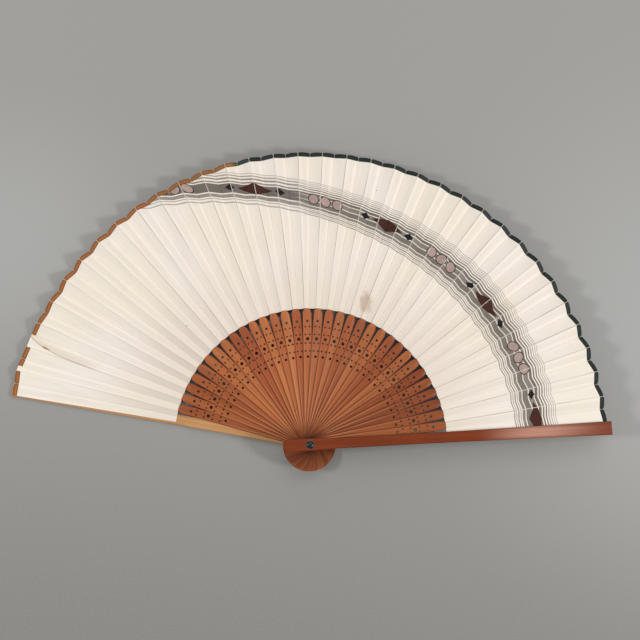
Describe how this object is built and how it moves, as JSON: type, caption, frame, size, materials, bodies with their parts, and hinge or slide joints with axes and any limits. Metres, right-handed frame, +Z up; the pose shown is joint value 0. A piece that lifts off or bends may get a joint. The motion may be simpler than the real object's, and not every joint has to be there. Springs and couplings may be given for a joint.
{
  "type": "hand fan",
  "caption": "Folding hand fan with perforated wooden ribs between two guards on one rivet, and a pleated paper leaf with a bound rim.",
  "frame": {"origin": "on the rivet's axis, level with the underside of the back guard, which is the face the fan rests on", "axes": "+Z up along the rivet from the back guard to the front guard, +Y along the middle of the open leaf, +X towards the front guard's side"},
  "size_m": [0.4152, 0.2241, 0.0207],
  "materials": {
    "back_guard": "satin varnished bamboo, light tan",
    "front_guard": "satin varnished bamboo, red brown",
    "rib_bamboo": "smoked bamboo, satin",
    "leaf_paper": "matte washi paper, cream",
    "binding_amber": "matte coloured paper",
    "binding_green": "matte coloured paper",
    "rivet_black": "glossy black",
    "rivet_metal": "dull pale metal"
  },
  "bodies": {
    "back_guard": {"back_guard": "back_guard", "rivet": "rivet_black", "rivet_washer": "rivet_metal", "rivet_back_cap": "rivet_black"},
    "rib_01": {"rib_01": "rib_bamboo", "leaf_01": "leaf_paper"},
    "rib_02": {"rib_02": "rib_bamboo"},
    "rib_03": {"rib_03": "rib_bamboo", "leaf_02": "leaf_paper"},
    "rib_04": {"rib_04": "rib_bamboo", "rim_binding_amber_1": "binding_amber"},
    "rib_05": {"rib_05": "rib_bamboo", "leaf_03": "leaf_paper"},
    "rib_06": {"rib_06": "rib_bamboo"},
    "rib_07": {"rib_07": "rib_bamboo", "leaf_04": "leaf_paper"},
    "rib_08": {"rib_08": "rib_bamboo"},
    "rib_09": {"rib_09": "rib_bamboo", "leaf_05": "leaf_paper"},
    "rib_10": {"rib_10": "rib_bamboo", "rim_binding_amber_2": "binding_amber"},
    "rib_11": {"rib_11": "rib_bamboo", "leaf_06": "leaf_paper"},
    "rib_12": {"rib_12": "rib_bamboo"},
    "rib_13": {"rib_13": "rib_bamboo", "leaf_07": "leaf_paper"},
    "rib_14": {"rib_14": "rib_bamboo"},
    "rib_15": {"rib_15": "rib_bamboo", "leaf_08": "leaf_paper"},
    "rib_16": {"rib_16": "rib_bamboo", "rim_binding_green_1": "binding_green"},
    "rib_17": {"rib_17": "rib_bamboo", "leaf_09": "leaf_paper"},
    "rib_18": {"rib_18": "rib_bamboo"},
    "rib_19": {"rib_19": "rib_bamboo", "leaf_10": "leaf_paper"},
    "rib_20": {"rib_20": "rib_bamboo"},
    "rib_21": {"rib_21": "rib_bamboo", "leaf_11": "leaf_paper"},
    "rib_22": {"rib_22": "rib_bamboo"},
    "rib_23": {"rib_23": "rib_bamboo", "leaf_12": "leaf_paper"},
    "rib_24": {"rib_24": "rib_bamboo", "rim_binding_green_2": "binding_green"},
    "rib_25": {"rib_25": "rib_bamboo", "leaf_13": "leaf_paper"},
    "rib_26": {"rib_26": "rib_bamboo"},
    "rib_27": {"rib_27": "rib_bamboo", "leaf_14": "leaf_paper"},
    "rib_28": {"rib_28": "rib_bamboo"},
    "rib_29": {"rib_29": "rib_bamboo", "leaf_15": "leaf_paper"},
    "rib_30": {"rib_30": "rib_bamboo", "rim_binding_green_3": "binding_green"},
    "rib_31": {"rib_31": "rib_bamboo", "leaf_16": "leaf_paper"},
    "rib_32": {"rib_32": "rib_bamboo"},
    "rib_33": {"rib_33": "rib_bamboo", "leaf_17": "leaf_paper"},
    "front_guard": {"front_guard": "front_guard"}
  },
  "joints": [
    {"name": "fan_fold", "type": "hinge", "parent": "back_guard", "child": "rib_01", "pos_m": [0, 0, 0], "axis": [0, 0, 1], "range_deg": [0, 4.9], "deforming": ["leaf_01"]},
    {"name": "rib_02_turn", "type": "hinge", "parent": "rib_01", "child": "rib_02", "pos_m": [0, 0, 0], "axis": [0, 0, 1], "range_deg": [0, 4.9]},
    {"name": "rib_03_turn", "type": "hinge", "parent": "rib_02", "child": "rib_03", "pos_m": [0, 0, 0], "axis": [0, 0, 1], "range_deg": [0, 4.9], "deforming": ["leaf_02"]},
    {"name": "rib_04_turn", "type": "hinge", "parent": "rib_03", "child": "rib_04", "pos_m": [0, 0, 0], "axis": [0, 0, 1], "range_deg": [0, 4.9], "deforming": ["rim_binding_amber_1"]},
    {"name": "rib_05_turn", "type": "hinge", "parent": "rib_04", "child": "rib_05", "pos_m": [0, 0, 0], "axis": [0, 0, 1], "range_deg": [0, 4.9], "deforming": ["leaf_03"]},
    {"name": "rib_06_turn", "type": "hinge", "parent": "rib_05", "child": "rib_06", "pos_m": [0, 0, 0], "axis": [0, 0, 1], "range_deg": [0, 4.9]},
    {"name": "rib_07_turn", "type": "hinge", "parent": "rib_06", "child": "rib_07", "pos_m": [0, 0, 0], "axis": [0, 0, 1], "range_deg": [0, 4.9], "deforming": ["leaf_04"]},
    {"name": "rib_08_turn", "type": "hinge", "parent": "rib_07", "child": "rib_08", "pos_m": [0, 0, 0], "axis": [0, 0, 1], "range_deg": [0, 4.9]},
    {"name": "rib_09_turn", "type": "hinge", "parent": "rib_08", "child": "rib_09", "pos_m": [0, 0, 0], "axis": [0, 0, 1], "range_deg": [0, 4.9], "deforming": ["leaf_05"]},
    {"name": "rib_10_turn", "type": "hinge", "parent": "rib_09", "child": "rib_10", "pos_m": [0, 0, 0], "axis": [0, 0, 1], "range_deg": [0, 4.9], "deforming": ["rim_binding_amber_2"]},
    {"name": "rib_11_turn", "type": "hinge", "parent": "rib_10", "child": "rib_11", "pos_m": [0, 0, 0], "axis": [0, 0, 1], "range_deg": [0, 4.9], "deforming": ["leaf_06"]},
    {"name": "rib_12_turn", "type": "hinge", "parent": "rib_11", "child": "rib_12", "pos_m": [0, 0, 0], "axis": [0, 0, 1], "range_deg": [0, 4.9]},
    {"name": "rib_13_turn", "type": "hinge", "parent": "rib_12", "child": "rib_13", "pos_m": [0, 0, 0], "axis": [0, 0, 1], "range_deg": [0, 4.9], "deforming": ["leaf_07"]},
    {"name": "rib_14_turn", "type": "hinge", "parent": "rib_13", "child": "rib_14", "pos_m": [0, 0, 0], "axis": [0, 0, 1], "range_deg": [0, 4.9]},
    {"name": "rib_15_turn", "type": "hinge", "parent": "rib_14", "child": "rib_15", "pos_m": [0, 0, 0], "axis": [0, 0, 1], "range_deg": [0, 4.9], "deforming": ["leaf_08"]},
    {"name": "rib_16_turn", "type": "hinge", "parent": "rib_15", "child": "rib_16", "pos_m": [0, 0, 0], "axis": [0, 0, 1], "range_deg": [0, 4.9], "deforming": ["rim_binding_green_1"]},
    {"name": "rib_17_turn", "type": "hinge", "parent": "rib_16", "child": "rib_17", "pos_m": [0, 0, 0], "axis": [0, 0, 1], "range_deg": [0, 4.9], "deforming": ["leaf_09"]},
    {"name": "rib_18_turn", "type": "hinge", "parent": "rib_17", "child": "rib_18", "pos_m": [0, 0, 0], "axis": [0, 0, 1], "range_deg": [0, 4.9]},
    {"name": "rib_19_turn", "type": "hinge", "parent": "rib_18", "child": "rib_19", "pos_m": [0, 0, 0], "axis": [0, 0, 1], "range_deg": [0, 4.9], "deforming": ["leaf_10"]},
    {"name": "rib_20_turn", "type": "hinge", "parent": "rib_19", "child": "rib_20", "pos_m": [0, 0, 0], "axis": [0, 0, 1], "range_deg": [0, 4.9]},
    {"name": "rib_21_turn", "type": "hinge", "parent": "rib_20", "child": "rib_21", "pos_m": [0, 0, 0], "axis": [0, 0, 1], "range_deg": [0, 4.9], "deforming": ["leaf_11"]},
    {"name": "rib_22_turn", "type": "hinge", "parent": "rib_21", "child": "rib_22", "pos_m": [0, 0, 0], "axis": [0, 0, 1], "range_deg": [0, 4.9]},
    {"name": "rib_23_turn", "type": "hinge", "parent": "rib_22", "child": "rib_23", "pos_m": [0, 0, 0], "axis": [0, 0, 1], "range_deg": [0, 4.9], "deforming": ["leaf_12"]},
    {"name": "rib_24_turn", "type": "hinge", "parent": "rib_23", "child": "rib_24", "pos_m": [0, 0, 0], "axis": [0, 0, 1], "range_deg": [0, 4.9], "deforming": ["rim_binding_green_2"]},
    {"name": "rib_25_turn", "type": "hinge", "parent": "rib_24", "child": "rib_25", "pos_m": [0, 0, 0], "axis": [0, 0, 1], "range_deg": [0, 4.9], "deforming": ["leaf_13"]},
    {"name": "rib_26_turn", "type": "hinge", "parent": "rib_25", "child": "rib_26", "pos_m": [0, 0, 0], "axis": [0, 0, 1], "range_deg": [0, 4.9]},
    {"name": "rib_27_turn", "type": "hinge", "parent": "rib_26", "child": "rib_27", "pos_m": [0, 0, 0], "axis": [0, 0, 1], "range_deg": [0, 4.9], "deforming": ["leaf_14"]},
    {"name": "rib_28_turn", "type": "hinge", "parent": "rib_27", "child": "rib_28", "pos_m": [0, 0, 0], "axis": [0, 0, 1], "range_deg": [0, 4.9]},
    {"name": "rib_29_turn", "type": "hinge", "parent": "rib_28", "child": "rib_29", "pos_m": [0, 0, 0], "axis": [0, 0, 1], "range_deg": [0, 4.9], "deforming": ["leaf_15"]},
    {"name": "rib_30_turn", "type": "hinge", "parent": "rib_29", "child": "rib_30", "pos_m": [0, 0, 0], "axis": [0, 0, 1], "range_deg": [0, 4.9], "deforming": ["rim_binding_green_3"]},
    {"name": "rib_31_turn", "type": "hinge", "parent": "rib_30", "child": "rib_31", "pos_m": [0, 0, 0], "axis": [0, 0, 1], "range_deg": [0, 4.9], "deforming": ["leaf_16"]},
    {"name": "rib_32_turn", "type": "hinge", "parent": "rib_31", "child": "rib_32", "pos_m": [0, 0, 0], "axis": [0, 0, 1], "range_deg": [0, 4.9]},
    {"name": "rib_33_turn", "type": "hinge", "parent": "rib_32", "child": "rib_33", "pos_m": [0, 0, 0], "axis": [0, 0, 1], "range_deg": [0, 4.9], "deforming": ["leaf_17"]},
    {"name": "front_guard_turn", "type": "hinge", "parent": "rib_33", "child": "front_guard", "pos_m": [0, 0, 0], "axis": [0, 0, 1], "range_deg": [0, 4.9]}
  ],
  "couplings": [
    {"joint": "rib_02_turn", "follows": "fan_fold", "ratio": 1},
    {"joint": "rib_03_turn", "follows": "fan_fold", "ratio": 1},
    {"joint": "rib_04_turn", "follows": "fan_fold", "ratio": 1},
    {"joint": "rib_05_turn", "follows": "fan_fold", "ratio": 1},
    {"joint": "rib_06_turn", "follows": "fan_fold", "ratio": 1},
    {"joint": "rib_07_turn", "follows": "fan_fold", "ratio": 1},
    {"joint": "rib_08_turn", "follows": "fan_fold", "ratio": 1},
    {"joint": "rib_09_turn", "follows": "fan_fold", "ratio": 1},
    {"joint": "rib_10_turn", "follows": "fan_fold", "ratio": 1},
    {"joint": "rib_11_turn", "follows": "fan_fold", "ratio": 1},
    {"joint": "rib_12_turn", "follows": "fan_fold", "ratio": 1},
    {"joint": "rib_13_turn", "follows": "fan_fold", "ratio": 1},
    {"joint": "rib_14_turn", "follows": "fan_fold", "ratio": 1},
    {"joint": "rib_15_turn", "follows": "fan_fold", "ratio": 1},
    {"joint": "rib_16_turn", "follows": "fan_fold", "ratio": 1},
    {"joint": "rib_17_turn", "follows": "fan_fold", "ratio": 1},
    {"joint": "rib_18_turn", "follows": "fan_fold", "ratio": 1},
    {"joint": "rib_19_turn", "follows": "fan_fold", "ratio": 1},
    {"joint": "rib_20_turn", "follows": "fan_fold", "ratio": 1},
    {"joint": "rib_21_turn", "follows": "fan_fold", "ratio": 1},
    {"joint": "rib_22_turn", "follows": "fan_fold", "ratio": 1},
    {"joint": "rib_23_turn", "follows": "fan_fold", "ratio": 1},
    {"joint": "rib_24_turn", "follows": "fan_fold", "ratio": 1},
    {"joint": "rib_25_turn", "follows": "fan_fold", "ratio": 1},
    {"joint": "rib_26_turn", "follows": "fan_fold", "ratio": 1},
    {"joint": "rib_27_turn", "follows": "fan_fold", "ratio": 1},
    {"joint": "rib_28_turn", "follows": "fan_fold", "ratio": 1},
    {"joint": "rib_29_turn", "follows": "fan_fold", "ratio": 1},
    {"joint": "rib_30_turn", "follows": "fan_fold", "ratio": 1},
    {"joint": "rib_31_turn", "follows": "fan_fold", "ratio": 1},
    {"joint": "rib_32_turn", "follows": "fan_fold", "ratio": 1},
    {"joint": "rib_33_turn", "follows": "fan_fold", "ratio": 1},
    {"joint": "front_guard_turn", "follows": "fan_fold", "ratio": 1}
  ]
}
